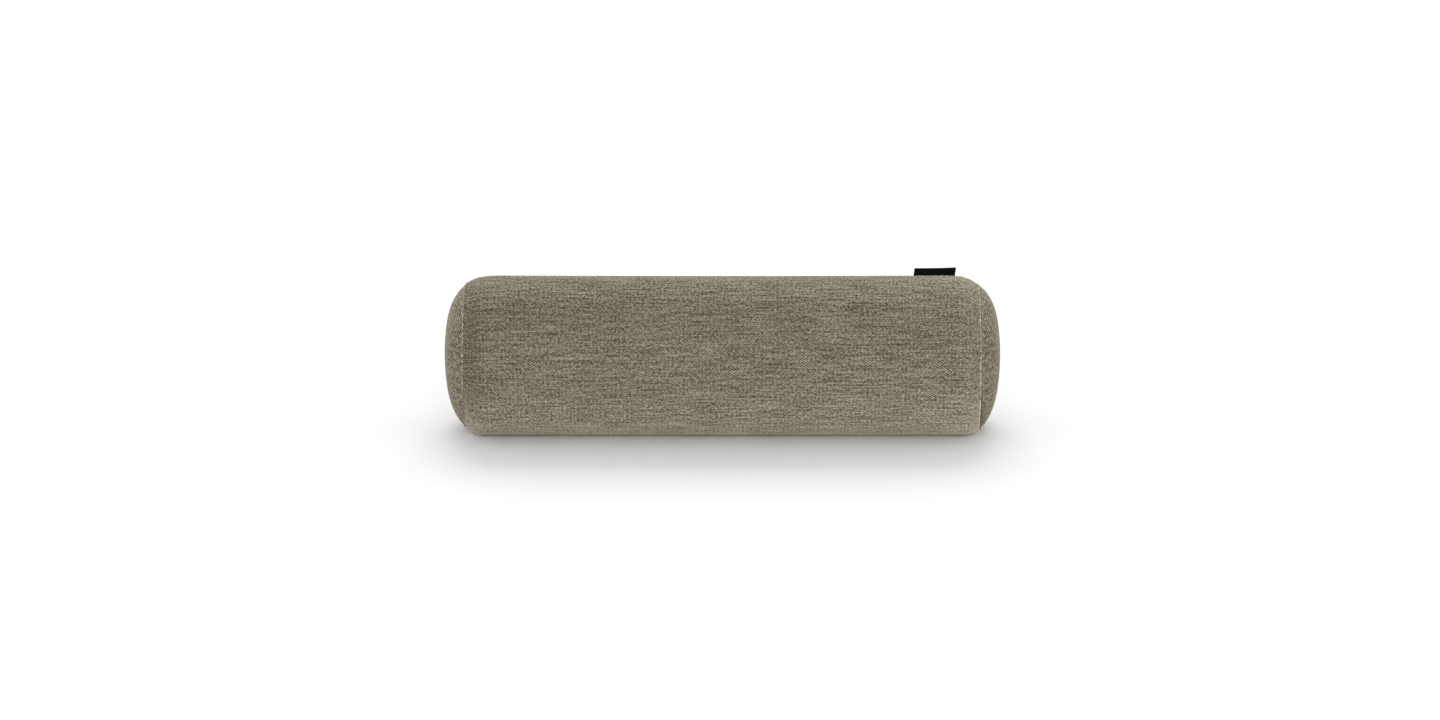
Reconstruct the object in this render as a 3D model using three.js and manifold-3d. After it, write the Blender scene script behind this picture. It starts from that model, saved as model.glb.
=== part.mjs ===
// Neck roll pillow, a firm round bolster in a woven cover.
// A rectangular body panel is closed into a tube by one long seam, filled, and drawn in at both ends to a
// round domed end panel. A short loop of bare woven tape is caught in the long seam.
// Millimetres, +Z up, X along the roll. The origin lies on the floor under the middle of the roll.
import * as THREE from "three";
import { mergeVertices } from "three/addons/utils/BufferGeometryUtils.js";
import Module from "manifold-3d";

// Driving dimensions of the roll
const ROLL_LENGTH = 600; // over the crowns of both end panels
const ROLL_DIAMETER = 173; // of the filled body, where nothing presses on it
const SEAM_SPAN = 554; // from one end seam to the other
const SEAM_DIAMETER = 151; // over the body panel's turned edge at an end seam
const SHOULDER_LENGTH = 23; // along X, over which the body panel draws in to its end seam
const FLOOR_PRESS = 4.5; // how far the roll's own weight flattens its underside
const PRESS_ROUNDING = 38; // radius between the flat underside and the round body

// Cloth
const CLOTH_THICKNESS = 3; // of the doubled, backed upholstery cloth of an end panel
const LIP_RADIUS = 1.6; // of the body panel's turned edge
const PIECE_GAP = 0.3; // between neighbouring pieces
const RIM_STEP = 1.6; // an end panel's rim lies this far below the body panel's lip

// End panels
const CROWN_LIFT = 5; // the fill pushes the crown of an end panel a little above the roll's axis
const CROWN_SHARES = { 2: 0.46, 4: 0.45, 16: 0.09 }; // of the crown's fall to its rim, by power of the radius
const RIM_BACK = 2.4; // from the end seam's crease to an end panel's outer rim, along X

// Long seam
const LONG_SEAM_COLUMNS = 4; // facet columns behind the top of the roll
const LONG_SEAM_DEPTH = 1.8; // of the valley that the stitching pulls in
const LONG_SEAM_SIDE_DEPTH = 0.3; // at either edge of the valley
const LONG_SEAM_HALF_WIDTH = 3; // from the stitching to an edge of the valley

// Woven tape loop in the long seam
const TAB_WIDTH = 45; // along X
const TAB_CENTRE_X = 229;
const TAB_HEIGHT = 9.3; // above the roll's surface
const TAB_TAIL_DEPTH = 5.2; // below the roll's surface, inside the seam
const TAPE_THICKNESS = 1.0;
const TAPE_LAYER_GAP = 0.6; // between the loop's two layers
const TAB_SLANT = 0.14; // sideways lean of the loop, as a share of its height
const TAB_CORNER_RISE = 1.2; // its outer corner stands this much higher
const TAB_WAVE = 0.5; // how far the loop bows out of its plane
const SLOT_END_GAP = 0.6; // room for the loop's lean at either end of its slot

// Facets
const ROUND_SEGMENTS = 96;
const SHOULDER_STEPS = 6;
const LIP_STEPS = 3;
const BODY_RINGS = 8;
const DOME_STEPS = 7;
const FOLD_STEPS = 6;
const TAB_STEPS = 8;

// Values that follow from the driving dimensions
const bodyRadius = ROLL_DIAMETER / 2;
const lipRadius = SEAM_DIAMETER / 2;
const axisHeight = bodyRadius - FLOOR_PRESS;
const seamX = SEAM_SPAN / 2;
const rimRadius = lipRadius - RIM_STEP;
const rimX = seamX + RIM_BACK;
const crownBulge = ROLL_LENGTH / 2 - rimX;
const columnAngle = (2 * Math.PI) / ROUND_SEGMENTS;
const longSeamAngle = LONG_SEAM_COLUMNS * columnAngle;

const wasm = await Module();
wasm.setup();

// A merged three.js geometry as a solid for cutting.
function toSolid(geometry) {
  const bare = geometry.clone();
  bare.deleteAttribute("normal");
  bare.deleteAttribute("uv");
  const merged = mergeVertices(bare, 1e-4);
  return new wasm.Manifold(
    new wasm.Mesh({
      numProp: 3,
      vertProperties: merged.attributes.position.array,
      triVerts: new Uint32Array(merged.index.array),
    }),
  );
}

// A cut solid as a three.js geometry.
function toGeometry(solid) {
  const mesh = solid.getMesh();
  const geometry = new THREE.BufferGeometry();
  geometry.setAttribute("position", new THREE.BufferAttribute(mesh.vertProperties, 3));
  geometry.setIndex(new THREE.BufferAttribute(mesh.triVerts, 1));
  geometry.computeVertexNormals();
  return geometry;
}

// Turns a profile of (radius, distance along X) points round the X axis. Column 0 is the top of the roll,
// and the columns run from there towards the front, -Y.
function turnRoundX(profile) {
  const lathe = new THREE.LatheGeometry(profile, ROUND_SEGMENTS);
  return lathe.rotateZ(-Math.PI / 2);
}

// Moves every vertex of a geometry by a function of its place.
function reshape(geometry, move) {
  const place = geometry.attributes.position;
  const point = new THREE.Vector3();
  for (let i = 0; i < place.count; i += 1) {
    point.fromBufferAttribute(place, i);
    move(point);
    place.setXYZ(i, point.x, point.y, point.z);
  }
  return geometry;
}

// The right end panel's outer surface as points (radius, X) from the crown at the axis out to the rim, each
// set back from that surface by depth along its normal.
function domeProfile(depth) {
  const points = [];
  for (let i = 0; i <= DOME_STEPS; i += 1) {
    const share = Math.sin((i / DOME_STEPS) * (Math.PI / 2)); // closer together towards the rim
    let fall = 0;
    let slope = 0;
    for (const [power, part] of Object.entries(CROWN_SHARES)) {
      fall += part * share ** power;
      slope += part * power * share ** (power - 1);
    }
    const normal = new THREE.Vector2((slope * crownBulge) / rimRadius, 1).normalize();
    const radius = share * rimRadius - depth * normal.x;
    const x = rimX + crownBulge * (1 - fall) - depth * normal.y;
    points.push(new THREE.Vector2(i === 0 ? 0 : radius, x));
  }
  return points;
}

// The body's right half as points (radius, X), from the middle of the roll out to the end of its fill at the
// axis: the filled tube, the shoulder, the turned lip at the seam, and the fill under the end panel.
function bodyHalfProfile() {
  const points = [];
  const lipCentreX = seamX - PIECE_GAP - LIP_RADIUS;
  const shoulderStartX = lipCentreX - SHOULDER_LENGTH;
  const shoulderDrop = bodyRadius - lipRadius;
  for (let i = 0; i < BODY_RINGS / 2; i += 1) {
    points.push(new THREE.Vector2(bodyRadius, (2 * i * shoulderStartX) / BODY_RINGS));
  }
  const shoulder = new THREE.EllipseCurve(
    shoulderStartX,
    bodyRadius - shoulderDrop,
    SHOULDER_LENGTH,
    shoulderDrop,
    Math.PI / 2,
    0,
    true,
  );
  shoulder.getPoints(SHOULDER_STEPS).forEach((p, i) => {
    if (i < SHOULDER_STEPS) points.push(new THREE.Vector2(p.y, p.x));
  });
  const lip = new THREE.EllipseCurve(
    lipCentreX,
    lipRadius - LIP_RADIUS,
    LIP_RADIUS,
    LIP_RADIUS,
    Math.PI / 2,
    0,
    true,
  );
  lip.getPoints(LIP_STEPS).forEach((p) => points.push(new THREE.Vector2(p.y, p.x)));
  const fill = domeProfile(CLOTH_THICKNESS + PIECE_GAP).reverse();
  points.push(new THREE.Vector2(fill[0].x, lipCentreX + LIP_RADIUS));
  return points.concat(fill);
}

// The whole body profile, from the left end of the fill to the right one.
function bodyProfile() {
  const right = bodyHalfProfile();
  const left = right
    .slice(1)
    .reverse()
    .map((p) => new THREE.Vector2(p.x, -p.y));
  return left.concat(right);
}

// Where a ray from the axis, at an angle from straight down, leaves a round section that stands on the floor:
// a flat, a rounding on either side of it, and the free circle of the given radius.
function pressedReach(radius, angle) {
  if (radius <= axisHeight) return radius;
  const rounding = PRESS_ROUNDING;
  const flatHalf = Math.sqrt((radius - rounding) ** 2 - (axisHeight - rounding) ** 2);
  if (angle <= Math.atan2(flatHalf, axisHeight)) return axisHeight / Math.cos(angle);
  if (angle >= Math.atan2(flatHalf, axisHeight - rounding)) return radius;
  const along = flatHalf * Math.sin(angle) + (axisHeight - rounding) * Math.cos(angle);
  const centreSquare = flatHalf ** 2 + (axisHeight - rounding) ** 2;
  return along + Math.sqrt(rounding ** 2 - centreSquare + along ** 2);
}

// Sets a vertex of the turned body down on the floor and pulls in the long seam.
function settleBody(point) {
  const radius = Math.hypot(point.y, point.z);
  if (radius < rimRadius) return;
  let fromTop = Math.atan2(point.y, point.z); // positive behind the top
  let pulled = radius;
  const column = Math.round((fromTop - longSeamAngle) / columnAngle);
  if (column === 0) pulled -= LONG_SEAM_DEPTH;
  if (Math.abs(column) === 1) {
    pulled -= LONG_SEAM_SIDE_DEPTH;
    fromTop = longSeamAngle + (column * LONG_SEAM_HALF_WIDTH) / bodyRadius;
  }
  const reach = pressedReach(pulled, Math.PI - Math.abs(fromTop));
  point.y = reach * Math.sin(fromTop);
  point.z = Math.max(reach * Math.cos(fromTop), -axisHeight);
}

// Raises an end panel's crown, and the fill under it, above the roll's axis. The rim stays round.
function liftCrown(point) {
  const radius = Math.hypot(point.y, point.z);
  if (radius >= rimRadius || Math.abs(point.x) < seamX - CLOTH_THICKNESS) return;
  point.z += CROWN_LIFT * (1 - (radius / rimRadius) ** 2);
}

// The tape loop's section: an upturned U, with Y along the roll's radius and its tails at the bottom.
function tabSection() {
  const outer = TAPE_THICKNESS + TAPE_LAYER_GAP / 2;
  const inner = TAPE_LAYER_GAP / 2;
  const bottom = bodyRadius - TAB_TAIL_DEPTH;
  const mouth = bodyRadius; // the loop leaves the seam here
  const foldCentre = bodyRadius + TAB_HEIGHT - outer;
  const section = new THREE.Shape();
  section.moveTo(outer, bottom);
  section.lineTo(outer, mouth);
  section.lineTo(outer, foldCentre);
  section.absarc(0, foldCentre, outer, 0, Math.PI, false);
  section.lineTo(-outer, mouth);
  section.lineTo(-outer, bottom);
  section.lineTo(-inner, bottom);
  section.lineTo(-inner, mouth);
  section.lineTo(-inner, foldCentre);
  section.absarc(0, foldCentre, inner, Math.PI, 0, true);
  section.lineTo(inner, mouth);
  section.lineTo(inner, bottom);
  section.closePath();
  return section;
}

// Slants, bows and lifts the free part of the loop, which the seam holds at its foot.
function slackenTab(point) {
  const free = Math.max(point.y - bodyRadius, 0) / TAB_HEIGHT;
  const along = point.z / TAB_WIDTH; // 0 at the inner end, 1 at the outer one
  point.x += TAB_WAVE * free * Math.sin(2 * Math.PI * along);
  point.y += TAB_CORNER_RISE * free * along ** 3;
  point.z += TAB_SLANT * TAB_HEIGHT * free;
}

// Takes a section drawn in (across, along the radius) and extruded along Z to its place in the long seam.
function placeInLongSeam(geometry, startX) {
  const alongX = new THREE.Matrix4().makeBasis(
    new THREE.Vector3(0, 1, 0),
    new THREE.Vector3(0, 0, 1),
    new THREE.Vector3(1, 0, 0),
  );
  geometry.applyMatrix4(alongX);
  geometry.rotateX(-longSeamAngle);
  return geometry.translate(startX, 0, 0);
}

// The slot in the seam that holds the loop's tails, as a solid to cut away.
function tabSlot() {
  const width = TAB_WIDTH + 2 * SLOT_END_GAP;
  const across = 2 * TAPE_THICKNESS + TAPE_LAYER_GAP + 2 * PIECE_GAP;
  const depth = TAB_TAIL_DEPTH + PIECE_GAP;
  const box = new THREE.BoxGeometry(across, 2 * depth, width);
  box.translate(0, bodyRadius, width / 2);
  return placeInLongSeam(box, TAB_CENTRE_X - width / 2);
}

// A finished piece of the roll, lifted from the axis to stand on the floor.
function piece(name, geometry, material) {
  const mesh = new THREE.Mesh(geometry, material);
  mesh.name = name;
  mesh.position.z = axisHeight;
  return mesh;
}

const coverCloth = new THREE.MeshStandardMaterial({ color: 0x7a7466, roughness: 0.95, metalness: 0 });
const tabTape = new THREE.MeshStandardMaterial({ color: 0x0b0b0d, roughness: 0.8, metalness: 0 });

function makeBody() {
  const turned = turnRoundX(bodyProfile());
  const settled = reshape(reshape(turned, liftCrown), settleBody);
  const cut = toSolid(settled).subtract(toSolid(tabSlot()));
  return piece("body_roll", toGeometry(cut), coverCloth);
}

// One end panel: a domed disc of cloth. Side is 1 at the right end and -1 at the left.
function makeEndPanel(name, side) {
  const outer = domeProfile(0);
  const inner = domeProfile(CLOTH_THICKNESS);
  const profile = inner.concat(outer.reverse());
  const turned = reshape(turnRoundX(profile), liftCrown);
  if (side < 0) turned.rotateZ(Math.PI);
  return piece(name, turned, coverCloth);
}

function makeTab() {
  const loop = new THREE.ExtrudeGeometry(tabSection(), {
    depth: TAB_WIDTH,
    steps: TAB_STEPS,
    bevelEnabled: false,
    curveSegments: FOLD_STEPS,
  });
  const placed = placeInLongSeam(reshape(loop, slackenTab), TAB_CENTRE_X - TAB_WIDTH / 2);
  return piece("seam_tab", placed, tabTape);
}

const neckRoll = new THREE.Group();
neckRoll.add(makeBody());
neckRoll.add(makeEndPanel("end_panel_left", -1));
neckRoll.add(makeEndPanel("end_panel_right", 1));
neckRoll.add(makeTab());

export default neckRoll;
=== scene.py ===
"""Dresses a neck roll pillow: a stuffed chenille roll, its end panels and its tape loop, in a studio."""

import math

import bpy
import numpy as np
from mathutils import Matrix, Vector, noise


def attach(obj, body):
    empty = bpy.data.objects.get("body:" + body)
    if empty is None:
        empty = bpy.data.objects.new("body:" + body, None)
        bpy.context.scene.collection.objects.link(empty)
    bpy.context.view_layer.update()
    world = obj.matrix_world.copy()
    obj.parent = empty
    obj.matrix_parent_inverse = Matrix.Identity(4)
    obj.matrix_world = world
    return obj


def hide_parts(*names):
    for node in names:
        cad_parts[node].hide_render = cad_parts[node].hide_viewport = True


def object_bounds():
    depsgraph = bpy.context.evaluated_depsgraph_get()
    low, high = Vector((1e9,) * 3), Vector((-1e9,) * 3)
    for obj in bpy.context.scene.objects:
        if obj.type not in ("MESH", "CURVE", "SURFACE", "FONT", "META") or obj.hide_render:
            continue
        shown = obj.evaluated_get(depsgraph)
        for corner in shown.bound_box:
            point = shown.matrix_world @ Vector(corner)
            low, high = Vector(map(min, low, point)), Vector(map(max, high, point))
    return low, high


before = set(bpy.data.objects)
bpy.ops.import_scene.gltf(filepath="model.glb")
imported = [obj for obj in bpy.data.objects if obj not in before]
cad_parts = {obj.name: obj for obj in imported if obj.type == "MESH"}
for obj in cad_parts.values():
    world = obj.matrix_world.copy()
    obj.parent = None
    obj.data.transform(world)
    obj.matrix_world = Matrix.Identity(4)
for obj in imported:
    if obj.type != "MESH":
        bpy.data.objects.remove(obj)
CAD_LOW, CAD_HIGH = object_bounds()

bl_info = {
    "name": "Neck Roll Pillow",
    "version": (1, 0, 0),
    "blender": (4, 5, 0),
    "location": "View3D > Sidebar > Neck Roll",
    "description": "Sews and stuffs a chenille neck roll with its end panels and tape loop, and lights it",
    "category": "Object",
}

PANEL_UV = "panel"  # cloth coordinates in metres, as the panel was cut

# Rows and columns of the cloth
STRAIGHT_ROWS = 45  # from the roll's middle to a shoulder
SHOULDER_ROWS = (12, 11)  # spread out on a shoulder, then close together by its seam
CLOSE_TURN = 24  # degrees of a shoulder's arc that the close rows take up
CREASE_SINK = np.linspace(0.0, 1.0, 6)[1:]  # share of the way into an end crease, row by row
DOME_ROWS = 60  # from an end panel's crown to its rim
OPEN_COLUMNS = 118  # round the roll, away from the long seam
SEAM_COLUMNS = np.array([0.0, 0.0007, 0.0014, 0.0022, 0.0033, 0.0049, 0.0071])  # metres from the long seam

# Forms beside a seam, in metres from it: start and end, or middle and width
END_SLACK = (0.004, 0.03)  # start and end of the cloth's slack beside an end seam
SEAM_SLACK = (0.001, 0.012)  # the same beside the long seam
BODY_LIP = (0.0008, 0.0009)  # middle and width, as of all that follow
BODY_HOLLOW = (0.0034, 0.0015)
RIM_LIP = (0.0006, 0.0009)
RIM_HOLLOW = (0.0040, 0.0022)
END_PUCKERS = (0.0040, 0.0050)
SEAM_PUCKERS = (0.0035, 0.0030)

# Other lengths at the seams, in metres
HELD_BY_END = 0.0045  # width of cloth that an end seam holds still
HELD_BY_SEAM = 0.001  # the same beside the long seam
CREASE_LEAN = 0.0004  # how far the body's cloth leans back as it turns into an end crease
RIM_CLEARANCE = 0.0002  # between an end panel's cloth and the body's in the crease
SEAM_VALLEY = 0.0016  # width of the valley along the long seam
END_PUCKER_HEIGHT = 0.00025
SEAM_PUCKER_HEIGHT = 0.00022
SEAM_PUCKER_PITCH = 0.0095
CLEAR_OF_END = 0.05  # how far off an end seam the body has its full girth
CLEAR_OF_SEAM = 0.03  # the same off the long seam
CLEAR_OF_FLOOR = 0.02  # depth below the axis down to which the floor doesn't press

# Gain of the cover's colour, in place of light from below: from, to, gain, where 0 is the height of the
# axis and 1 is where the roll rests
UNDERSIDE_GAINS = ((0.0, 0.7, 0.48), (0.55, 1.05, 1.08), (0.82, 0.89, 0.45), (0.895, 0.94, 0.90))

SHOULDER_CURVE = 1.8  # power by which the body draws in towards an end seam
STUFFING_FRAMES = 20
NOISE_STEPS = (7.31, 3.17, 5.53)  # from one seed's noise to the next
GRAIN_SPREAD = 2.6  # brings a grain's noise, which keeps near its middle, to about -1 to 1
NODE_COLUMNS = 8  # of a node tree's layout
NODE_STEP = (220, -260)


# Settings


def metres(name, description, default):
    """A length that a user may change."""
    return bpy.props.FloatProperty(
        name=name, description=description, default=default, unit="LENGTH", precision=5
    )


def share(name, description, default):
    """A plain factor that a user may change."""
    return bpy.props.FloatProperty(name=name, description=description, default=default, precision=3)


def turned_by(name, description, degrees):
    """An angle that a user may change."""
    return bpy.props.FloatProperty(
        name=name, description=description, default=math.radians(degrees), unit="ROTATION"
    )


def tint(name, description, default):
    """A colour that a user may change."""
    return bpy.props.FloatVectorProperty(
        name=name, description=description, default=default, subtype="COLOR", size=3, min=0.0, max=1.0
    )


class RollSizes(bpy.types.PropertyGroup):
    """Sizes of the stuffed roll."""

    length: metres("Length", "Over the crowns of both end panels", CAD_HIGH.x - CAD_LOW.x)
    diameter: metres("Diameter", "Of the filled body, where nothing presses on it", CAD_HIGH.y - CAD_LOW.y)
    seam_span: metres("Seam Span", "From one end seam to the other", 0.554)
    crease: metres("Crease", "Depth of the fold at an end seam", 0.0030)
    press: metres("Floor Press", "How far the roll's weight flattens its underside", 0.0045)
    rounding: metres("Press Rounding", "Radius between the flat underside and the round body", 0.026)
    crown_lift: metres("Crown Lift", "Height of an end panel's crown above the roll's axis", 0.0037)
    long_seam_angle: turned_by("Long Seam", "How far behind the top the long seam runs", 15)
    long_seam_depth: metres("Long Seam Depth", "Of the valley that the long seam pulls in", 0.0021)
    slack: metres("Slack", "How far the empty body panel lies inside the stuffed one", 0.002)
    panel_slack: metres("End Slack", "How far an empty end panel lies inside the stuffed one", 0.0035)
    panel_cloth: metres("End Cloth", "Thickness of an end panel's cloth", 0.0018)


def end_form(
    seam_top, seam_under, shoulder_under, rim_top, rim_under, ridge, dip, rim_ridge, rim_dip, rim_gap
):
    """The sizes that shape one end of the roll."""
    return {
        "seam_top": metres("Seam Top", "Radius of the body's edge at the top", seam_top),
        "seam_under": metres("Seam Underside", "Radius of the body's edge on the underside", seam_under),
        "shoulder_top": metres("Shoulder Top", "Length over which the body draws in at the top", 0.023),
        "shoulder_under": metres("Shoulder Underside", "The same on the underside", shoulder_under),
        "rim_top": metres("Rim Top", "Radius of the end panel's rim at the top", rim_top),
        "rim_under": metres("Rim Underside", "Radius of the end panel's rim on the underside", rim_under),
        "ridge": metres("Ridge", "Height of the body's lip at the seam", ridge),
        "dip": metres("Dip", "Depth of the body's hollow beside the lip", dip),
        "rim_ridge": metres("Rim Ridge", "Height of the end panel's lip at the seam", rim_ridge),
        "rim_dip": metres("Rim Dip", "Depth of the end panel's hollow beside its lip", rim_dip),
        "rim_gap": metres("Rim Gap", "From the body's lip to the end panel's", rim_gap),
    }


class LeftEnd(bpy.types.PropertyGroup):
    """Form of the left-hand end, where the end panel's lip shows."""

    __annotations__ = end_form(
        seam_top=0.0790, seam_under=0.0780, shoulder_under=0.020, rim_top=0.0770, rim_under=0.0768,
        ridge=0.0001, dip=0.0007, rim_ridge=0.0006, rim_dip=0.0001, rim_gap=0.0004,
    )


class RightEnd(bpy.types.PropertyGroup):
    """Form of the right-hand end, where the body's lip shows and the seam sags."""

    __annotations__ = end_form(
        seam_top=0.0770, seam_under=0.0800, shoulder_under=0.014, rim_top=0.0765, rim_under=0.0800,
        ridge=0.0008, dip=0.0003, rim_ridge=0.0001, rim_dip=0.0006, rim_gap=0.0007,
    )


class TapeLoop(bpy.types.PropertyGroup):
    """Sizes and colours of the tape loop in the long seam."""

    width: metres("Width", "Of the tape", 0.045)
    centre: metres("Centre", "Of the loop along the roll", 0.229)
    height: metres("Height", "Of the loop above the roll", 0.0085)
    tail: metres("Tail", "Length of tape inside the seam", 0.0048)
    thickness: metres("Thickness", "Of the woven tape", 0.0006)
    opening: metres("Opening", "Between the two layers", 0.0008)
    slant: share("Slant", "Sideways lean as a share of the height", 0.14)
    rise: metres("Corner Rise", "How much higher the outer corner stands", 0.0009)
    bow: metres("Bow", "How far the loop bows out of its plane", 0.0005)
    pip_pitch: metres("Pip Pitch", "From one pip to the next along a rib", 0.0009)
    row_pitch: metres("Row Pitch", "From one rib to the next", 0.0004)
    deep: tint("Deep Thread", "Between the ribs", (0.0008, 0.0008, 0.0011))
    worn: tint("Worn Thread", "On the ribs and along the edges", (0.0070, 0.0070, 0.0085))


class CoverLook(bpy.types.PropertyGroup):
    """Yarns and colours of the chenille cover."""

    pip_pitch: metres("Pip Pitch", "From one pip to the next along a row of the weave", 0.00404)
    row_pitch: metres("Row Pitch", "From one row of the weave to the next", 0.001375)
    lean: share("Lean", "How much more the twill falls to the right than it rises", 0.8)
    wander: metres("Wander", "How far the yarns stray from their rows", 0.0003)
    slub_length: metres("Slub Length", "Of the thicker stretches of yarn", 0.045)
    nub_size: metres("Nub Size", "Of the lumps in the pile", 0.0029)
    deep: tint("Deep Yarn", "Between the pips", (0.0485, 0.0412, 0.0288))
    middle: tint("Middle Yarn", "Of most of the pile", (0.167, 0.1465, 0.106))
    pale: tint("Pale Yarn", "On the tips of the pile", (0.349, 0.312, 0.237))
    sheen: share("Sheen", "Of the pile's fibres at a grazing view", 0.25)
    sheen_tint: tint("Sheen Tint", "Colour of the sheen", (1.0, 0.88, 0.66))


class StageLook(bpy.types.PropertyGroup):
    """Camera and lights of the studio."""

    elevation: turned_by("Elevation", "Of the camera above the roll", 15)
    lens: bpy.props.FloatProperty(name="Lens", description="Focal length", default=150.3, unit="CAMERA")
    distance: metres("Distance", "From the camera to the roll's axis", 6.5)
    aim_left: metres("Aim Left", "How far left of the roll's middle the camera aims", 0.0026)
    aim_low: metres("Aim Low", "How far below the roll's middle the camera aims", 0.0045)
    sky: share("Sky", "Strength of the even light all round", 0.85)
    horizon: share("Horizon", "Strength of the light from low down all round", 1.03)
    back_light: share("Back Light", "Strength of the soft light above and behind", 1.52)
    front_light: share("Front Light", "Strength of the soft light in front", 0.93)
    floor: tint("Floor", "Colour of the floor", (0.819, 0.822, 0.832))


class NeckRollSettings(bpy.types.PropertyGroup):
    """All settings of the neck roll."""

    roll: bpy.props.PointerProperty(type=RollSizes)
    left_end: bpy.props.PointerProperty(type=LeftEnd)
    right_end: bpy.props.PointerProperty(type=RightEnd)
    tab: bpy.props.PointerProperty(type=TapeLoop)
    cover: bpy.props.PointerProperty(type=CoverLook)
    stage: bpy.props.PointerProperty(type=StageLook)


# Mesh handling


def clear_selection():
    """Nothing stays selected or in edit mode."""
    if bpy.context.object and bpy.context.object.mode != "OBJECT":
        bpy.ops.object.mode_set(mode="OBJECT")
    bpy.ops.object.select_all(action="DESELECT")


def pick(piece):
    """Makes a piece the only selected and the active object."""
    clear_selection()
    piece.select_set(True)
    bpy.context.view_layer.objects.active = piece


def flat_cut(name, columns, rows):
    """A flat piece of cloth as a grid of one by one, with its columns along X."""
    clear_selection()
    bpy.ops.mesh.primitive_grid_add(x_subdivisions=columns, y_subdivisions=rows, size=1)
    piece = bpy.context.object
    piece.name = name
    piece.data.name = name
    piece.data.uv_layers.active.name = PANEL_UV
    return piece


def points_of(piece):
    """A piece's vertices as an array of rows X, Y, Z."""
    flat = np.empty(len(piece.data.vertices) * 3, np.float32)
    piece.data.vertices.foreach_get("co", flat)
    return flat.reshape(-1, 3).astype(float)


def set_points(piece, points):
    """Moves a piece's vertices."""
    piece.data.vertices.foreach_set("co", np.asarray(points, np.float32).ravel())
    piece.data.update()


def set_panel(piece, panel):
    """Writes each vertex's place on the flat cloth to the piece's UV map."""
    owners = np.empty(len(piece.data.loops), np.int32)
    piece.data.loops.foreach_get("vertex_index", owners)
    piece.data.uv_layers[PANEL_UV].data.foreach_set("uv", np.asarray(panel, np.float32)[owners].ravel())


def set_mask(piece, name, values):
    """Writes a value for each vertex that a material can read by name."""
    layer = piece.data.attributes.new(name, "FLOAT", "POINT")
    layer.data.foreach_set("value", np.asarray(values, np.float32))


def apply_modifier(piece, modifier):
    """Applies one modifier of a piece."""
    pick(piece)
    bpy.ops.object.modifier_apply(modifier=modifier.name)


def thicken(piece, thickness, offset):
    """Gives a sheet of cloth its thickness, to one side or the other of the sheet or to both."""
    wall = piece.modifiers.new("Cloth", "SOLIDIFY")
    wall.thickness = thickness
    wall.offset = offset
    apply_modifier(piece, wall)


def subdivide_once(piece):
    """Doubles a piece's rows and columns with a smooth surface."""
    smooth = piece.modifiers.new("Smooth", "SUBSURF")
    smooth.levels = 1
    smooth.render_levels = 1
    apply_modifier(piece, smooth)


def select_open_edges():
    """In edit mode, selects the edges that bound a piece of cloth."""
    bpy.ops.mesh.select_mode(type="EDGE")
    bpy.ops.mesh.select_all(action="DESELECT")
    bpy.ops.mesh.select_non_manifold(
        extend=False, use_wire=False, use_boundary=True, use_multi_face=False, use_non_contiguous=False,
        use_verts=False,
    )


def join_edges(piece):
    """Joins edges of a piece that meet."""
    pick(piece)
    bpy.ops.object.mode_set(mode="EDIT")
    bpy.ops.mesh.select_all(action="SELECT")
    bpy.ops.mesh.remove_doubles(threshold=1e-5)
    bpy.ops.object.mode_set(mode="OBJECT")


def close_ends(piece):
    """Closes both open ends of a tube, out of sight under the end panels."""
    pick(piece)
    bpy.ops.object.mode_set(mode="EDIT")
    select_open_edges()
    bpy.ops.mesh.edge_face_add()
    bpy.ops.object.mode_set(mode="OBJECT")


def smooth_shading(piece):
    """Shades a piece as one soft surface."""
    pick(piece)
    bpy.ops.object.shade_smooth()


def swell(piece, held, fullness, most):
    """Stuffs a cover: cloth blown up from inside, held at its seams, no point moving further than most."""
    start = points_of(piece)
    seams = piece.vertex_groups.new(name="seams")
    seams.add(np.flatnonzero(held).tolist(), 1.0, "REPLACE")
    firmness = piece.vertex_groups.new(name="firmness")
    for index, value in enumerate(fullness):
        firmness.add([index], float(value), "REPLACE")
    pick(piece)
    cloth = piece.modifiers.new("Filling", "CLOTH")
    settings = cloth.settings
    settings.quality = 6
    settings.mass = 0.3
    settings.tension_stiffness = 40
    settings.compression_stiffness = 40
    settings.shear_stiffness = 20
    settings.bending_stiffness = 4
    settings.vertex_group_mass = seams.name
    settings.use_pressure = True
    settings.uniform_pressure_force = 4
    settings.vertex_group_pressure = firmness.name
    settings.effector_weights.gravity = 0
    cloth.collision_settings.use_collision = False
    cloth.point_cache.frame_start = 1
    cloth.point_cache.frame_end = STUFFING_FRAMES
    scene = bpy.context.scene
    for step in range(1, STUFFING_FRAMES + 1):
        scene.frame_set(step)
    apply_modifier(piece, cloth)
    scene.frame_set(1)
    move = points_of(piece) - start
    far = np.linalg.norm(move, axis=1, keepdims=True)
    set_points(piece, start + move * np.minimum(1.0, most / np.maximum(far, 1e-9)))
    piece.vertex_groups.clear()


# Shapes of the roll


def bell(distance, middle, width):
    """A soft bump of height 1."""
    return np.exp(-(((distance - middle) / width) ** 2))


def ease(low, high, value):
    """Runs smoothly from 0 at low to 1 at high."""
    part = np.clip((value - low) / (high - low), 0.0, 1.0)
    return part * part * (3.0 - 2.0 * part)


def along(curve):
    """Distance along a curve of points to each of them."""
    steps = np.linalg.norm(np.diff(curve, axis=0), axis=1)
    return np.concatenate([[0.0], np.cumsum(steps)])


def outward(curve):
    """Unit normals of a curve of (X, radius) points that runs away from the roll's middle."""
    direction = np.gradient(curve, axis=0)
    normal = np.stack([-direction[:, 1], direction[:, 0]], axis=1)
    return normal / np.linalg.norm(normal, axis=1, keepdims=True)


def between(top, under, angle):
    """From a value at the top of the roll to another on its underside, at an angle behind the top."""
    return top + (under - top) * ease(-0.9, 0.9, -np.cos(angle))


def axis_height(sizes):
    """Height of the roll's axis above the floor."""
    return sizes.diameter / 2 - sizes.press


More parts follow.
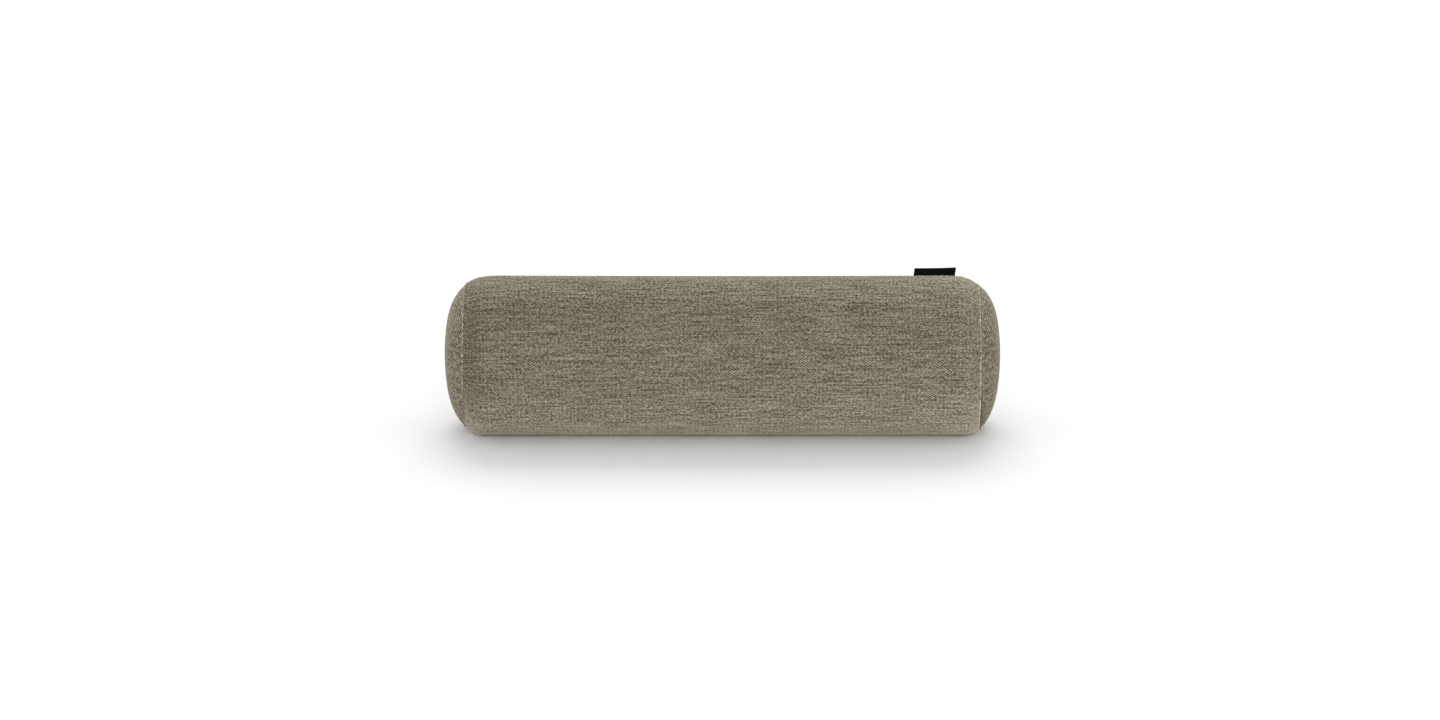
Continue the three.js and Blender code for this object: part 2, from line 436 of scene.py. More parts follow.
def drawn_in(gap, length):
    """How far the body is drawn in at a gap from the seam: 1 at the seam, 0 where the shoulder starts."""
    return np.clip(1 - gap / length, 0.0, 1.0) ** SHOULDER_CURVE


def half_rows(sizes, end):
    """Rows of cloth from the middle of the roll to an end crease.

    Returns each row's distance from the middle, its share of the way into the crease, and its distance to
    the seam along the cloth."""
    seam_x = sizes.seam_span / 2
    draw = sizes.diameter / 2 - end.seam_top
    start_x = seam_x - end.shoulder_top
    spread, close = SHOULDER_ROWS
    turns = np.concatenate([np.linspace(90, CLOSE_TURN, spread)[1:], np.linspace(CLOSE_TURN, 0, close)[1:]])
    shoulder = start_x + end.shoulder_top * np.cos(np.radians(turns))
    body = np.concatenate([np.linspace(0.0, start_x, STRAIGHT_ROWS), shoulder])
    out = np.concatenate([body, seam_x - CREASE_LEAN * CREASE_SINK])
    depth = np.concatenate([np.zeros(len(body)), CREASE_SINK])
    fall = draw * drawn_in(seam_x - out, end.shoulder_top) + sizes.crease * depth
    cloth = along(np.stack([out, -fall], axis=1))
    return out, depth, cloth[len(body) - 1] - cloth


def body_rows(sizes, ends):
    """All rows of the body from the left crease to the right one.

    Returns each row's X, its share of the way into a crease, and its distance to a seam."""
    left, left_sink, left_gap = half_rows(sizes, ends[0])
    right, right_sink, right_gap = half_rows(sizes, ends[1])
    x = np.concatenate([-left[:0:-1], right])
    sink = np.concatenate([left_sink[:0:-1], right_sink])
    return x, sink, np.concatenate([left_gap[:0:-1], right_gap])


def body_columns(sizes):
    """Cloth distance of each column from the long seam, once round the roll."""
    girth = math.pi * sizes.diameter
    open_part = np.linspace(SEAM_COLUMNS[-1], girth - SEAM_COLUMNS[-1], OPEN_COLUMNS)
    return np.concatenate([SEAM_COLUMNS[:-1], open_part, girth - SEAM_COLUMNS[-2::-1]])


def body_radius(sizes, end, x, sink, to_seam, angle):
    """Radius of the stuffed body at one end, with its lip at the seam and the hollow beside it."""
    full_r = sizes.diameter / 2
    draw = full_r - between(end.seam_top, end.seam_under, angle)
    length = between(end.shoulder_top, end.shoulder_under, angle)
    lip = end.ridge * bell(to_seam, *BODY_LIP) - end.dip * bell(to_seam, *BODY_HOLLOW)
    return full_r - draw * drawn_in(sizes.seam_span / 2 - np.abs(x), length) - sizes.crease * sink + lip


def pressed_reach(radius, below, height, rounding):
    """Reach from the axis of a round section that rests on the floor, at an angle from straight down."""
    wide = np.maximum(radius, height + 1e-9)
    flat = np.sqrt(np.maximum((wide - rounding) ** 2 - (height - rounding) ** 2, 0.0))
    on_flat = below <= np.arctan2(flat, height)
    on_round = below < np.arctan2(flat, height - rounding)
    towards = flat * np.sin(below) + (height - rounding) * np.cos(below)
    centre = flat**2 + (height - rounding) ** 2
    round_reach = towards + np.sqrt(np.maximum(rounding**2 - centre + towards**2, 0.0))
    flat_reach = height / np.maximum(np.cos(below), 1e-3)
    pressed = np.where(on_flat, flat_reach, np.where(on_round, round_reach, radius))
    return np.where(radius > height, pressed, radius)


def soft_noise(places, size, seed):
    """Smooth noise from -1 to 1 at each place, with lumps of about the given size."""
    shift = Vector([seed * step for step in NOISE_STEPS])
    return np.array([noise.noise(Vector(p) / size + shift) for p in places])


def uneven_fill(places, lump, seed):
    """How full the stuffing is at each place, with lumps of about the given size."""
    return 0.85 + 0.15 * soft_noise(places, lump, seed)


def panel_profile(sizes, end):
    """An end panel from its crown to its crease, with its rim at rim_gap from the body's lip.

    Returns (distance beyond the seam, radius) points, and each point's distance to the rim."""
    bulge = (sizes.length - sizes.seam_span) / 2 - end.rim_gap
    part = np.sin(np.linspace(0.0, 1.0, DOME_ROWS) * math.pi / 2)
    fall = (part**2 + part**6) / 2
    dome = np.stack([end.rim_gap + bulge * (1 - fall), end.rim_top * part], axis=1)
    beyond = end.rim_gap * (1 - CREASE_SINK) ** 2 + RIM_CLEARANCE
    crease = np.stack([beyond, end.rim_top - sizes.crease * CREASE_SINK**1.5], axis=1)
    curve = np.concatenate([dome, crease])
    to_rim = along(curve)[len(dome) - 1] - along(curve)
    lift = end.rim_ridge * bell(to_rim, *RIM_LIP) - end.rim_dip * bell(to_rim, *RIM_HOLLOW)
    lift -= sizes.panel_slack * ease(*END_SLACK, to_rim)
    return curve - outward(curve) * lift[:, None], to_rim


# Materials


class Wiring:
    """Adds nodes to a shader tree and feeds their inputs."""

    def __init__(self, tree):
        self.tree = tree

    def feed(self, node, feeds):
        """Feeds a node's inputs, each from a socket of another node or with a plain value."""
        for name, value in dict(feeds).items():
            if isinstance(value, bpy.types.NodeSocket):
                self.tree.links.new(value, node.inputs[name])
            else:
                node.inputs[name].default_value = value

    def add(self, kind, feeds=(), **settings):
        """One node with its settings and what feeds it."""
        node = self.tree.nodes.new(kind)
        line, column = divmod(len(self.tree.nodes), NODE_COLUMNS)
        node.location = (NODE_STEP[0] * column, NODE_STEP[1] * line)
        for name, value in settings.items():
            setattr(node, name, value)
        self.feed(node, feeds)
        return node

    def math(self, operation, *values):
        """The result of one sum on sockets or numbers."""
        return self.add("ShaderNodeMath", enumerate(values), operation=operation).outputs[0]

    def total(self, start, *parts):
        """A start value and the (socket, weight) parts added to it."""
        for source, weight in parts:
            start = self.math("ADD", self.math("MULTIPLY", source, weight), start)
        return start

    def vector_math(self, operation, feeds):
        """The result of one sum on vectors or colours."""
        return self.add("ShaderNodeVectorMath", feeds, operation=operation).outputs[0]

    def vector(self, x, y, z=0.0):
        """A vector from three sockets or numbers."""
        return self.add("ShaderNodeCombineXYZ", {"X": x, "Y": y, "Z": z}).outputs[0]

    def mask(self, name):
        """The value that a piece's vertices carry under a name."""
        node = self.add("ShaderNodeAttribute", attribute_name=name, attribute_type="GEOMETRY")
        return node.outputs["Fac"]

    def grain(self, place, scale, detail=1.0, roughness=0.5):
        """Noise from about -1 to 1."""
        feeds = {"Vector": place, "Scale": scale, "Detail": detail, "Roughness": roughness}
        noise_node = self.add("ShaderNodeTexNoise", feeds, noise_dimensions="3D")
        centred = self.math("SUBTRACT", noise_node.outputs["Fac"], 0.5)
        return self.math("MULTIPLY", centred, GRAIN_SPREAD)


def woven_yarns():
    """The group that lays a weave out on cloth: pips on staggered rows, slubs along them, and fibres."""
    group = bpy.data.node_groups.get("Woven yarns")
    if group:
        return group
    group = bpy.data.node_groups.new("Woven yarns", "ShaderNodeTree")
    panel = group.interface.new_socket("Panel", in_out="INPUT", socket_type="NodeSocketVector")
    panel.description = "Place on the flat cloth, in metres"
    for name, default in (
        ("Pip Pitch", 0.004), ("Row Pitch", 0.0014), ("Lean", 0.6), ("Wander", 0.0003),
        ("Slub Length", 0.03), ("Nub Size", 0.003),
    ):
        socket = group.interface.new_socket(name, in_out="INPUT", socket_type="NodeSocketFloat")
        socket.default_value = default
    for name in ("Pips", "Columns", "Tuft", "Nub", "Slub", "Fibre"):
        group.interface.new_socket(name, in_out="OUTPUT", socket_type="NodeSocketFloat")
    sways, jitters, fibres = 55.0, 420.0, 2100.0  # to a metre of cloth
    fibre_length = 0.6  # the fibres' scale along the rows, as a share of that across them
    row_step = 3.713  # from one row's slubs to the next row's, in the noise that makes them
    wire = Wiring(group)
    given = wire.add("NodeGroupInput").outputs
    split = wire.add("ShaderNodeSeparateXYZ", {"Vector": given["Panel"]}).outputs
    sway = wire.grain(given["Panel"], sways, 2.0)
    jitter = wire.grain(given["Panel"], jitters, 0.0)
    u = wire.math("ADD", split["X"], wire.math("MULTIPLY", jitter, given["Wander"]))
    v = wire.math("ADD", split["Y"], wire.math("MULTIPLY", sway, given["Wander"]))
    turn_u = wire.math("MULTIPLY", wire.math("DIVIDE", u, given["Pip Pitch"]), math.tau)
    turn_v = wire.math("MULTIPLY", wire.math("DIVIDE", v, given["Row Pitch"]), math.pi)
    down = wire.math("ADD", turn_u, turn_v)
    up = wire.math("SUBTRACT", turn_u, turn_v)
    falling = wire.math("MULTIPLY", wire.math("COSINE", down), given["Lean"])
    rest = wire.math("SUBTRACT", 1.0, given["Lean"])
    rising = wire.math("MULTIPLY", wire.math("COSINE", up), rest)
    down_index = wire.math("ROUND", wire.math("DIVIDE", down, math.tau))
    up_index = wire.math("ROUND", wire.math("DIVIDE", up, math.tau))
    pip = wire.vector(down_index, up_index)
    chance = wire.add("ShaderNodeTexWhiteNoise", {"Vector": pip}, noise_dimensions="2D").outputs["Value"]
    row = wire.math("FLOOR", wire.math("DIVIDE", split["Y"], given["Row Pitch"]))
    slub_u = wire.math("DIVIDE", u, given["Slub Length"])
    slub_place = wire.vector(slub_u, wire.math("MULTIPLY", row, row_step))
    fibre_place = wire.vector(wire.math("MULTIPLY", u, fibre_length), v)
    nubs = wire.math("DIVIDE", 1.0, given["Nub Size"])
    made = {
        "Pips": wire.math("ADD", falling, rising),
        "Columns": wire.math("COSINE", turn_u),
        "Tuft": wire.math("SUBTRACT", wire.math("MULTIPLY", chance, 2.0), 1.0),
        "Nub": wire.grain(given["Panel"], nubs, 1.0, 1.0),
        "Slub": wire.grain(slub_place, 1.0, 2.0),
        "Fibre": wire.grain(fibre_place, fibres, 1.0),
    }
    wire.add("NodeGroupOutput", made)
    return group


def new_material(name):
    """An empty node material with its Principled shader."""
    material = bpy.data.materials.new(name)
    material.use_nodes = True
    tree = material.node_tree
    tree.nodes.clear()
    wire = Wiring(tree)
    shader = wire.add("ShaderNodeBsdfPrincipled")
    wire.add("ShaderNodeOutputMaterial", {"Surface": shader.outputs[0]})
    return material, wire, shader


def cover_material(look):
    """Chenille: staggered pips of soft yarn, slubby rows and blotches, its colour raised in places by
    painted light and lowered by painted shade.
    """
    name = "chenille_cover"
    if name in bpy.data.materials:
        return bpy.data.materials[name]
    material, wire, shader = new_material(name)
    panel = wire.add("ShaderNodeUVMap", uv_map=PANEL_UV).outputs["UV"]
    weave = {
        "Panel": panel, "Pip Pitch": look.pip_pitch, "Row Pitch": look.row_pitch, "Lean": look.lean,
        "Wander": look.wander, "Slub Length": look.slub_length, "Nub Size": look.nub_size,
    }
    yarns = wire.add("ShaderNodeGroup", weave, node_tree=woven_yarns()).outputs
    split = wire.add("ShaderNodeSeparateXYZ", {"Vector": panel}).outputs
    streaks, streak_length = 600.0, 0.05  # to a metre across the rows, and their scale along them
    streak_place = wire.vector(wire.math("MULTIPLY", split["X"], streak_length), split["Y"])
    streak = wire.grain(streak_place, streaks, 0.0)
    blotches = 9.0  # to a metre
    blotch = wire.grain(panel, blotches, 2.0, 0.4)
    # Painted light, the seams' painted highlight and shade, and how plainly the yarns show.
    nap, seam_light, pile, twill, slubs = map(wire.mask, ("nap", "seam_rub", "pile", "twill", "slubs"))
    shown = (
        (yarns["Pips"], 0.30, twill),
        (yarns["Columns"], 0.04, twill),
        (yarns["Tuft"], 0.08, pile),
        (yarns["Nub"], 0.72, pile),
        (yarns["Fibre"], 0.06, pile),
        (blotch, 0.04, pile),
        (yarns["Slub"], 0.27, slubs),
        (streak, 0.24, slubs),
    )
    parts = [(wire.math("MULTIPLY", source, weight), strength) for source, weight, strength in shown]
    tone = wire.total(0.5, *parts)
    ramp = wire.add("ShaderNodeValToRGB", {"Fac": tone})
    stops = ramp.color_ramp.elements
    stops[0].position = 0.0
    stops[0].color = (*look.deep, 1.0)
    stops[1].position = 1.0
    stops[1].color = (*look.pale, 1.0)
    stops.new(0.5).color = (*look.middle, 1.0)
    height = wire.total(0.0, (yarns["Pips"], 0.7), (yarns["Slub"], 0.35), (yarns["Fibre"], 0.3))
    bump = wire.add("ShaderNodeBump", {"Height": height, "Strength": 0.6, "Distance": 0.0005})
    # The painted light and the seams' painted highlight and shade scale the yarn's colour.
    raised = wire.math("SUBTRACT", wire.total(nap, (seam_light, 0.7)), 1.0)
    painted_light_tint = (0.93, 1.0, 1.10)  # a raised colour is a little cooler than the yarn's own
    lift = wire.vector_math("SCALE", {0: painted_light_tint, "Scale": raised})
    lit = wire.vector_math("ADD", {0: lift, 1: (1.0, 1.0, 1.0)})
    finish = {
        "Base Color": wire.vector_math("MULTIPLY", {0: ramp.outputs["Color"], 1: lit}),
        "Roughness": wire.total(0.95, (tone, -0.12)),
        "Normal": bump.outputs["Normal"],
        "Specular IOR Level": 0.1,
        "Sheen Weight": look.sheen,
        "Sheen Roughness": 0.25,
        "Sheen Tint": (*look.sheen_tint, 1.0),
    }
    wire.feed(shader, finish)
    return material


def tape_material(tab):
    """Closely woven black tape with fine cross ribs, a little greyer along its folded and cut edges."""
    material, wire, shader = new_material("woven_tape")
    panel = wire.add("ShaderNodeUVMap", uv_map=PANEL_UV).outputs["UV"]
    weave = {
        "Panel": panel, "Pip Pitch": tab.pip_pitch, "Row Pitch": tab.row_pitch, "Lean": 0.5,
        "Wander": 0.00005, "Slub Length": 0.006,
    }
    yarns = wire.add("ShaderNodeGroup", weave, node_tree=woven_yarns()).outputs
    edge = wire.mask("tape_edge")
    tone = wire.total(0.35, (yarns["Pips"], 0.25), (yarns["Slub"], 0.10), (edge, 0.35))
    ramp = wire.add("ShaderNodeValToRGB", {"Fac": tone})
    ramp.color_ramp.elements[0].color = (*tab.deep, 1.0)
    ramp.color_ramp.elements[1].color = (*tab.worn, 1.0)
    bump = wire.add("ShaderNodeBump", {"Height": yarns["Pips"], "Strength": 0.5, "Distance": 0.00012})
    finish = {
        "Base Color": ramp.outputs["Color"],
        "Roughness": wire.total(0.80, (yarns["Slub"], 0.06)),
        "Normal": bump.outputs["Normal"],
        "Specular IOR Level": 0.06,
    }
    wire.feed(shader, finish)
    return material


def floor_material(colour):
    """A smooth pale studio floor with the faintest unevenness."""
    material, wire, shader = new_material("studio_floor")
    place = wire.add("ShaderNodeTexCoord").outputs["Object"]
    cloud = wire.grain(place, 0.7, 2.0)
    tone = wire.total(1.0, (cloud, 0.01))
    finish = {
        "Base Color": wire.vector_math("SCALE", {0: tuple(colour), "Scale": tone}),
        "Roughness": 0.9,
        "Specular IOR Level": 0.0,
    }
    wire.feed(shader, finish)
    return material


# Operators


class NECKROLL_OT_body(bpy.types.Operator):
    """Rolls the body panel into a tube, sews it, stuffs it and sets it on the floor"""

    bl_idname = "neck_roll.body"
    bl_label = "Body Roll"

    lump = 0.07  # size of the stuffing's lumps
    swelling = 0.005  # furthest that the stuffing moves the cloth

    def execute(self, context):
        settings = context.scene.neck_roll
        sizes, ends = settings.roll, (settings.left_end, settings.right_end)
        rows, sinks, gaps = body_rows(sizes, ends)
        cloth_u = np.sign(rows) * (gaps[len(gaps) // 2] - gaps)
        cloth_v = body_columns(sizes)
        piece = flat_cut("body_roll_cover", len(rows) - 1, len(cloth_v) - 1)
        grid = points_of(piece) + 0.5
        row = np.rint(grid[:, 0] * (len(rows) - 1)).astype(int)
        column = np.rint(grid[:, 1] * (len(cloth_v) - 1)).astype(int)
        set_panel(piece, np.stack([cloth_u[row], cloth_v[column]], axis=1))
        girth = cloth_v[-1]
        seam_gap = np.minimum(cloth_v, girth - cloth_v)[column]
        angle = sizes.long_seam_angle + math.tau * cloth_v[column] / girth
        end_gap = gaps[row]
        inset = sizes.slack * ease(*END_SLACK, end_gap) * ease(*SEAM_SLACK, seam_gap)
        valley = sizes.long_seam_depth * np.exp(-seam_gap / SEAM_VALLEY)
        x = rows[row]
        left, right = (body_radius(sizes, end, x, sinks[row], end_gap, angle) for end in ends)
        radius = np.where(x < 0, left, right)
        set_points(piece, self.placed(sizes, x, radius, angle, valley + inset))
        held = (end_gap < HELD_BY_END) | (seam_gap < HELD_BY_SEAM)
        self.sew(piece, held)
        self.settle(piece, sizes)
        piece.data.materials.append(cover_material(settings.cover))
        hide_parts("body_roll")
        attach(piece, "root")
        return {"FINISHED"}

    def placed(self, sizes, x, radius, angle, sunk):
        """Points of the roll on the floor, from X, radius, angle behind the top, and depth under that."""
        height = axis_height(sizes)
        below = np.abs(np.pi - np.mod(angle, math.tau))
        reach = pressed_reach(radius, below, height, sizes.rounding) - sunk
        return np.stack([x, reach * np.sin(angle), height + reach * np.cos(angle)], axis=1)

    def sew(self, piece, held):
        """Stuffs the tube with its two long edges held in the seam, then joins them and closes the ends."""
        swell(piece, held, uneven_fill(points_of(piece), self.lump, 1), self.swelling)
        join_edges(piece)
        subdivide_once(piece)
        close_ends(piece)
        smooth_shading(piece)

    def settle(self, piece, sizes):
        """Brings the stuffed roll to its girth, puckers its seams and rests it on the floor."""
        height = axis_height(sizes)
        place = points_of(piece)
        x = place[:, 0]
        high = place[:, 2] - height
        radius = np.hypot(place[:, 1], high)
        angle = np.arctan2(place[:, 1], high)
        end_gap = sizes.seam_span / 2 - np.abs(x)
        from_seam = np.angle(np.exp(1j * (angle - sizes.long_seam_angle)))
        seam_gap = np.abs(from_seam) * sizes.diameter / 2
        free = (end_gap > CLEAR_OF_END) & (seam_gap > CLEAR_OF_SEAM) & (high > -CLEAR_OF_FLOOR)
        grow = sizes.diameter / 2 - radius[free].mean()
        radius = radius + grow * ease(*END_SLACK, end_gap) * ease(*SEAM_SLACK, seam_gap)
        many, few, drifts = 47, 31, 5  # waves round the roll that make up an end seam's puckers
        ripple = np.sin(angle * many + 2.0 * np.sin(angle * drifts)) * np.sin(angle * few + 1.3)
        radius += END_PUCKER_HEIGHT * ripple * bell(end_gap, *END_PUCKERS) * (end_gap > -0.001)
        pull = np.sin(x * math.tau / SEAM_PUCKER_PITCH + 1.5 * np.sin(x * 60))
        radius += SEAM_PUCKER_HEIGHT * pull * bell(seam_gap, *SEAM_PUCKERS)
        place[:, 1] = radius * np.sin(angle)
        place[:, 2] = np.maximum(height + radius * np.cos(angle), 0.0)
        set_points(piece, place)
        under = -np.cos(angle)
        # Painted highlight and shade along the seams.
        set_mask(piece, "seam_rub", self.painted_seam_light(place, under, end_gap, seam_gap))
        # Painted light: the cover's colour is raised towards the underside, lifted again at the very top,
        # and a little lighter towards the right-hand end.
        set_mask(piece, "nap", self.colour_gain(under) * (1.0 + 0.06 * x / (sizes.seam_span / 2)))
        pile = self.raised_pile(x, under, end_gap)
        for name in ("pile", "twill", "slubs"):
            set_mask(piece, name, pile)

    def painted_seam_light(self, place, under, end_gap, seam_gap):
        """Painted highlight and shade at the seams: paler along the right-hand lip and shoulder, darker on
        the left-hand shoulder and along the long seam.
        """
        lip_glint = (1.25 + 0.7 * soft_noise(place, 0.0045, 3)) * (1.2 + 0.3 * under)
        right_lip = lip_glint * bell(end_gap, 0.0005, 0.0011) * (end_gap > 0.0)
        right_shoulder = 0.2 * bell(end_gap, 0.01, 0.02)
        flank = ease(-0.9, -0.2, -under) * ease(-0.98, -0.7, under)
        left_shoulder = -0.25 * bell(end_gap, 0.008, 0.014) * flank
        long_seam = -0.6 * bell(seam_gap, 0.0, 0.0013)
        return np.where(place[:, 0] > 0, right_lip + right_shoulder, left_shoulder) + long_seam

    def colour_gain(self, under):
        """Gain of the cover's colour, in place of light, from the roll's top, -1, to where it rests, 1."""
        total = 1.0 + 0.12 * under + 0.11 * ease(0.80, 0.90, -under)
        for start, end, gain in UNDERSIDE_GAINS:
            total += gain * ease(start, end, under)
        return total

    def raised_pile(self, x, under, end_gap):
        """How plainly the weave shows: more at the top and low in front, less in the lower right corner."""
        top = 0.35 * ease(0.6, 0.95, -under) + 0.9 * ease(0.965, 1.0, -under)
        low_front = 0.18 * ease(0.35, 0.5, under) * (1 - ease(0.65, 0.8, under))
        corner = 0.4 * bell(end_gap, 0.0, 0.012) * ease(0.1, 0.5, under) * (x > 0)
        return 1.0 + top + low_front - corner


class NECKROLL_OT_end_panels(bpy.types.Operator):
    """Cuts both round end panels, domes them over the filling and turns their rims into the end seams"""

    bl_idname = "neck_roll.end_panels"
    bl_label = "End Panels"

    cells = 40  # along each side of a panel's middle
    middle = 0.86  # radius of the middle as a share of the panel's
    rings = 14  # round the middle
    crowding = 1.6  # power by which the rings crowd together at the rim
    lump = 0.05  # size of the stuffing's lumps
    swelling = 0.003  # furthest that the stuffing moves the cloth
    weave = (0.62, 0.9)  # how closely the weave is drawn, across and up
    strengths = (("pile", 1.05), ("twill", 0.9), ("slubs", 0.6))  # how plainly the yarns show

    def execute(self, context):
        settings = context.scene.neck_roll
        cover = cover_material(settings.cover)
        for side, node, end in (
            (-1, "end_panel_left", settings.left_end),
            (1, "end_panel_right", settings.right_end),
        ):
            piece = self.dome(settings.roll, end, node + "_cover", side)
            piece.data.materials.append(cover)
            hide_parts(node)
            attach(piece, "root")
        return {"FINISHED"}

    def disc(self, name):
        """A round piece of cloth of radius 1: a square grid drawn out to a circle, with rings round it."""
        piece = flat_cut(name, self.cells, self.cells)
        grid = points_of(piece) * 2
        across, up = grid[:, 0], grid[:, 1]
        flat = np.stack([across * np.sqrt(1 - up**2 / 2), up * np.sqrt(1 - across**2 / 2), 0 * up], axis=1)
        set_points(piece, flat * self.middle)
        pick(piece)
        bpy.ops.object.mode_set(mode="EDIT")
        select_open_edges()
        size = self.middle
        for ring in range(1, self.rings + 1):
            wanted = self.middle + (1 - self.middle) * (1 - (1 - ring / self.rings) ** self.crowding)
            bpy.ops.mesh.extrude_edges_move()
            bpy.ops.transform.resize(value=(wanted / size, wanted / size, 1), center_override=(0, 0, 0))
            size = wanted
        bpy.ops.object.mode_set(mode="OBJECT")
        return piece

    def dome(self, sizes, end, name, side):
        """One end panel, stuffed and turned in at its rim."""
        curve, to_rim = panel_profile(sizes, end)
        reach = along(curve)
        piece = self.disc(name)
        flat = points_of(piece)[:, :2]
        cloth = np.hypot(flat[:, 0], flat[:, 1]) * reach[-1]
        set_panel(piece, flat * reach[-1] * np.array([-self.weave[0] * side, self.weave[1]]))
        radius = np.interp(cloth, reach, curve[:, 1])
        beyond = np.interp(cloth, reach, curve[:, 0])
        rim_gap = np.interp(cloth, reach, to_rim)
        turn = np.arctan2(flat[:, 1], flat[:, 0])
        lift = sizes.crown_lift * np.maximum(1 - (radius / end.rim_top) ** 2, 0.0)
        radius = radius * between(end.rim_top, end.rim_under, math.pi / 2 - turn) / end.rim_top
        x = side * (sizes.seam_span / 2 + beyond)
        high = axis_height(sizes) + radius * np.sin(turn) + lift
        place = np.stack([x, side * radius * np.cos(turn), high], axis=1)
        set_points(piece, place)
        swell(piece, rim_gap < HELD_BY_END, uneven_fill(place, self.lump, 2), self.swelling)
        place = points_of(piece)
        crown = np.abs(place[:, 0]).max()
        place[:, 0] += side * ((sizes.length / 2 - crown) * ease(*END_SLACK, rim_gap))
        set_points(piece, place)
        # Painted highlight and shade along the end panel's rim.
        set_mask(piece, "seam_rub", self.painted_seam_light(place, side, turn, rim_gap))
        # Painted light: an end panel is a little lighter towards its top, and the left-hand panel a shade
        # lighter than the right-hand one.
        set_mask(piece, "nap", 1.03 - 0.01 * side + 0.05 * np.sin(turn) * radius / end.rim_top)
        for mask, strength in self.strengths:
            set_mask(piece, mask, np.full(len(place), strength))
        thicken(piece, sizes.panel_cloth, -1)
        subdivide_once(piece)
        smooth_shading(piece)
        return piece

    def painted_seam_light(self, place, side, turn, rim_gap):
        """Painted highlight and shade at an end panel's rim: paler along the left-hand lip, less so low
        down; on the right, paler round most of the rim and darker low down in the crease.
        """
        low = 0.5 - 0.5 * np.sin(turn)
        if side < 0:
            lip_glint = 1.5 + 1.5 * soft_noise(place, 0.006, 4)
            return lip_glint * (1 - 0.6 * low) * bell(rim_gap, 0.0004, 0.0010)
        return (0.35 - 0.9 * ease(0.55, 0.85, low)) * bell(rim_gap, 0.0, 0.003)


class NECKROLL_OT_seam_tab(bpy.types.Operator):
    """Folds a short length of bare woven tape into a loop and catches it in the long seam"""

    bl_idname = "neck_roll.seam_tab"
    bl_label = "Tape Loop"

    columns = 36  # across the tape
    rows = 40  # along it

    def execute(self, context):
        settings = context.scene.neck_roll
        sizes, tab = settings.roll, settings.tab
        piece = flat_cut("seam_tab_tape", self.columns, self.rows)
        grid = points_of(piece)
        bend = (tab.opening + tab.thickness) / 2
        leg = tab.height + tab.tail - bend - tab.thickness / 2
        tape_length = 2 * leg + math.pi * bend
        run = (grid[:, 1] + 0.5) * tape_length
        set_panel(piece, np.stack([grid[:, 0] * tab.width, run], axis=1))
        turn = np.clip((run - leg) / bend, 0.0, math.pi)
        risen = np.minimum(run, leg) - np.maximum(run - leg - math.pi * bend, 0.0)
        up = risen + bend * np.sin(turn) - tab.tail
        free = np.maximum(up, 0.0) / tab.height
        part = grid[:, 0] + 0.5
        belly = 1 + 0.5 * bell(free, 0.45, 0.3)
        across = -bend * np.cos(turn) * belly + tab.bow * free * np.sin(math.tau * part)
        x = tab.centre + grid[:, 0] * tab.width + tab.slant * tab.height * free
        radius = sizes.diameter / 2 + (up + tab.rise * free * part**3)
        lean = sizes.long_seam_angle
        back = radius * math.sin(lean) + across * math.cos(lean)
        high = axis_height(sizes) + radius * math.cos(lean) - across * math.sin(lean)
        set_points(piece, np.stack([x, back, high], axis=1))
        rim = np.minimum(part, 1 - part) * tab.width
        set_mask(piece, "tape_edge", bell(rim, 0.0, 0.0007) + 0.5 * bell(turn, math.pi / 2, 0.9))
        thicken(piece, tab.thickness, 0)
        subdivide_once(piece)
        smooth_shading(piece)
        piece.data.materials.append(tape_material(tab))
        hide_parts("seam_tab")
        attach(piece, "root")
        return {"FINISHED"}


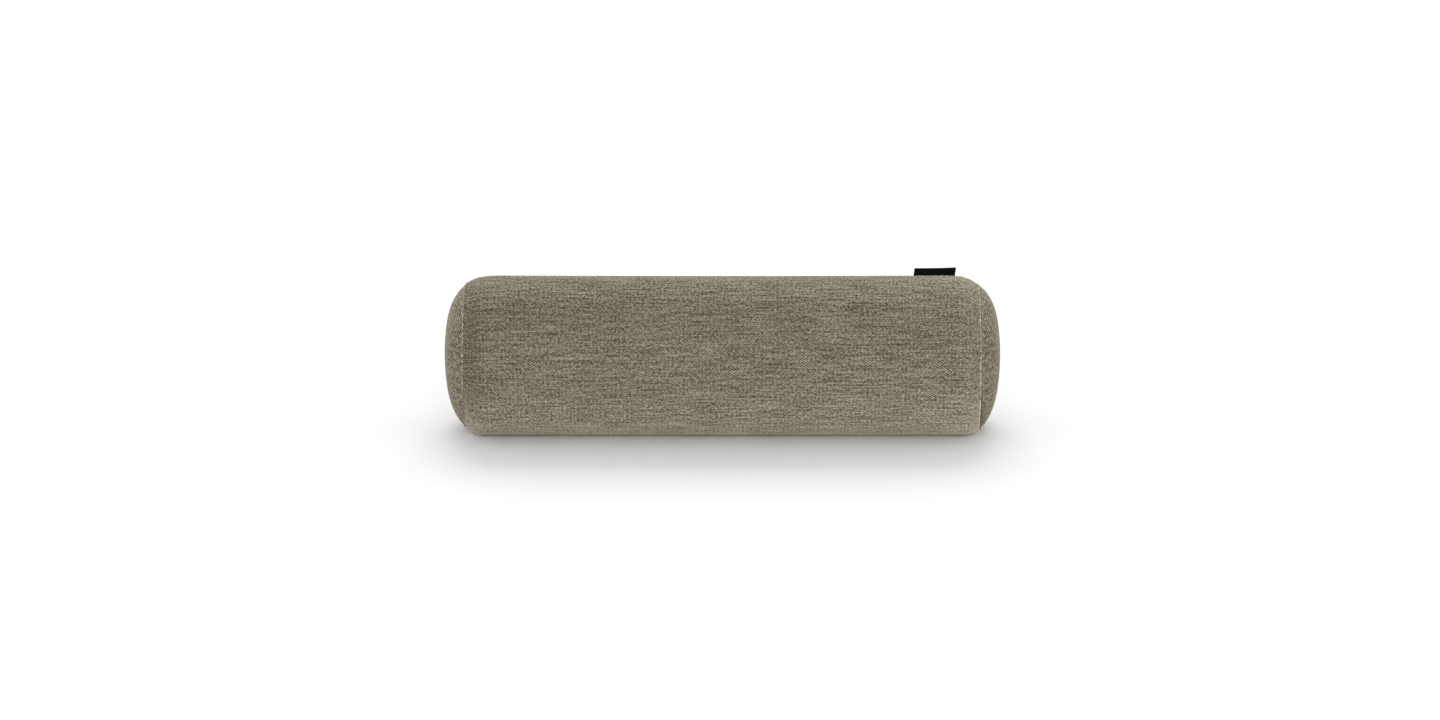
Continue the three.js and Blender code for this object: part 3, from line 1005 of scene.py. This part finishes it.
class NECKROLL_OT_stage(bpy.types.Operator):
    """Lays the pale floor, sets the soft lights and places the camera"""

    bl_idname = "neck_roll.stage"
    bl_label = "Studio"

    horizon_band = (0.05, 0.2)  # rise over which the low light gives way to the sky's
    sky_tint = (0.98, 1.0, 1.035)
    lamp_tint = (1.04, 1.0, 0.935)

    def execute(self, context):
        settings = context.scene.neck_roll
        self.floor(settings.stage)
        self.sky(context.scene, settings.stage)
        self.lamps(settings.stage)
        self.camera(context.scene, settings)
        context.scene.view_settings.view_transform = "Standard"
        return {"FINISHED"}

    def floor(self, look):
        """A wide floor that the roll lies on."""
        clear_selection()
        bpy.ops.mesh.primitive_plane_add(size=60)
        floor = bpy.context.object
        floor.name = "studio_floor"
        floor.data.materials.append(floor_material(look.floor))

    def sky(self, scene, look):
        """Even light from all round, whiter low down."""
        world = bpy.data.worlds.new("studio")
        scene.world = world
        world.use_nodes = True
        wire = Wiring(world.node_tree)
        way = wire.add("ShaderNodeTexCoord").outputs["Generated"]
        rise = wire.add("ShaderNodeSeparateXYZ", {"Vector": way}).outputs["Z"]
        ramp = wire.add("ShaderNodeValToRGB", {"Fac": rise})
        low, high = ramp.color_ramp.elements
        low.position, high.position = self.horizon_band
        low.color = (look.horizon, look.horizon, look.horizon, 1.0)
        high.color = (*(part * look.sky for part in self.sky_tint), 1.0)
        wire.feed(world.node_tree.nodes["Background"], {"Color": ramp.outputs["Color"]})

    def lamps(self, look):
        """A soft light above and behind, and another in front."""
        for name, place, spread, power in (
            ("back_light", (0.0, 2.0, 1.87), 44, look.back_light),
            ("front_light", (0.1, -3.0, 1.3), 40, look.front_light),
        ):
            clear_selection()
            bpy.ops.object.light_add(type="SUN", location=place)
            lamp = bpy.context.object
            lamp.name = name
            lamp.data.angle = math.radians(spread)
            lamp.data.energy = power
            lamp.data.color = self.lamp_tint
            lamp.rotation_euler = (-Vector(place)).to_track_quat("-Z", "Y").to_euler()

    def camera(self, scene, settings):
        """A long lens in front of the roll and a little above it."""
        look, sizes = settings.stage, settings.roll
        clear_selection()
        bpy.ops.object.camera_add()
        camera = bpy.context.object
        camera.name = "studio_camera"
        camera.data.lens = look.lens
        camera.data.sensor_width = 36.0
        back = Vector((0.0, -math.cos(look.elevation), math.sin(look.elevation)))
        up = Vector((0.0, math.sin(look.elevation), math.cos(look.elevation)))
        middle = Vector((0.0, 0.0, axis_height(sizes)))
        aim = middle - look.aim_left * Vector((1.0, 0.0, 0.0)) - look.aim_low * up
        camera.location = aim + back * look.distance
        camera.rotation_euler = (-back).to_track_quat("-Z", "Y").to_euler()
        camera.data.clip_end = 200.0
        scene.camera = camera


class NECKROLL_PT_sidebar(bpy.types.Panel):
    """Lists the neck roll's pieces and settings"""

    bl_idname = "NECKROLL_PT_sidebar"
    bl_label = "Neck Roll"
    bl_space_type = "VIEW_3D"
    bl_region_type = "UI"
    bl_category = "Neck Roll"

    def draw(self, context):
        for operator in OPERATORS:
            self.layout.operator(operator.bl_idname)
        for part in NeckRollSettings.__annotations__:
            group = getattr(context.scene.neck_roll, part)
            box = self.layout.box()
            for name in group.__annotations__:
                box.prop(group, name)


OPERATORS = (NECKROLL_OT_body, NECKROLL_OT_end_panels, NECKROLL_OT_seam_tab, NECKROLL_OT_stage)
SETTINGS = (RollSizes, LeftEnd, RightEnd, TapeLoop, CoverLook, StageLook, NeckRollSettings)
CLASSES = (*SETTINGS, *OPERATORS, NECKROLL_PT_sidebar)


def register():
    """Adds the classes and the settings."""
    for cls in CLASSES:
        bpy.utils.register_class(cls)
    bpy.types.Scene.neck_roll = bpy.props.PointerProperty(type=NeckRollSettings)


def unregister():
    """Removes the settings and the classes."""
    del bpy.types.Scene.neck_roll
    for cls in reversed(CLASSES):
        bpy.utils.unregister_class(cls)


def main():
    """Makes all pieces and the studio."""
    register()
    bpy.ops.neck_roll.body()
    bpy.ops.neck_roll.end_panels()
    bpy.ops.neck_roll.seam_tab()
    bpy.ops.neck_roll.stage()


if __name__ == "__main__":
    main()
